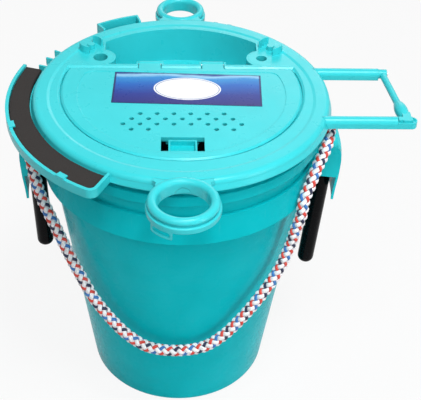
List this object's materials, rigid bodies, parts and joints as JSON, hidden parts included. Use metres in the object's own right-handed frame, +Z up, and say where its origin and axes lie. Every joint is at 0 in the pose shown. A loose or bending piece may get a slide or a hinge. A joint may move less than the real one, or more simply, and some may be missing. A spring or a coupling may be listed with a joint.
{
  "type": "aerated bait bucket",
  "caption": "Tapered pail with a rope handle and a fishing lid: hatch with sprung latch, tackle tray, rod rings, pump hanger with gate, foam hook strip.",
  "frame": {"origin": "centre of the pail's foot, on the floor it stands on", "axes": "+Z up the pail's axis, -Y towards the hatch latch (front), +X towards the pump hanger"},
  "size_m": [0.4337, 0.4345, 0.3832],
  "materials": {
    "pail_plastic": "smooth moulded",
    "lid_plastic": "satin moulded",
    "latch_plastic": "satin moulded",
    "rope_braid": "solid braid with coloured flecks",
    "sleeve_rubber": "glossy dipped",
    "gasket_rubber": "matte",
    "hook_foam": "closed-cell foam",
    "pin_steel": "drawn wire",
    "label_film": "printed film"
  },
  "bodies": {
    "bucket": {"pail_shell": "pail_plastic", "rope_ear_left": "pail_plastic", "rope_ear_right": "pail_plastic", "rope_handle": "rope_braid", "rope_tail_left": "rope_braid", "rope_tail_right": "rope_braid", "rope_sleeve_left": "sleeve_rubber", "rope_sleeve_right": "sleeve_rubber"},
    "lid": {"lid_shell": "lid_plastic", "lid_gasket": "gasket_rubber", "tackle_tray": "lid_plastic", "hinge_pin_left": "pin_steel", "hinge_pin_right": "pin_steel", "rod_ring_front": "lid_plastic", "rod_ring_back": "lid_plastic", "pump_arm_front": "lid_plastic", "pump_arm_back": "lid_plastic", "gate_pin": "pin_steel", "foam_channel": "lid_plastic", "foam_strip": "hook_foam", "tool_pocket": "lid_plastic", "line_clip_left": "lid_plastic", "line_clip_right": "lid_plastic", "rim_fins": "lid_plastic"},
    "hatch": {"access_hatch": "lid_plastic", "hatch_label": "label_film"},
    "latch": {"hatch_latch": "latch_plastic"},
    "gate": {"hanger_gate": "lid_plastic"}
  },
  "joints": [
    {"name": "lid_lift", "type": "slide", "parent": "bucket", "child": "lid", "axis": [0, 0, 1], "range_m": [0, 0.12]},
    {"name": "hatch_hinge", "type": "hinge", "parent": "lid", "child": "hatch", "pos_m": [0, 0.06, 0.371], "axis": [-1, 0, 0], "range_deg": [0, 110]},
    {"name": "latch_slide", "type": "slide", "parent": "hatch", "child": "latch", "axis": [0, 1, 0], "range_m": [0, 0.004], "stiffness_N_per_m": 400, "springref_m": -0.001},
    {"name": "gate_hinge", "type": "hinge", "parent": "lid", "child": "gate", "pos_m": [0.225, 0.0475, 0.369], "axis": [-1, 0, 0], "range_deg": [0, 100]}
  ]
}
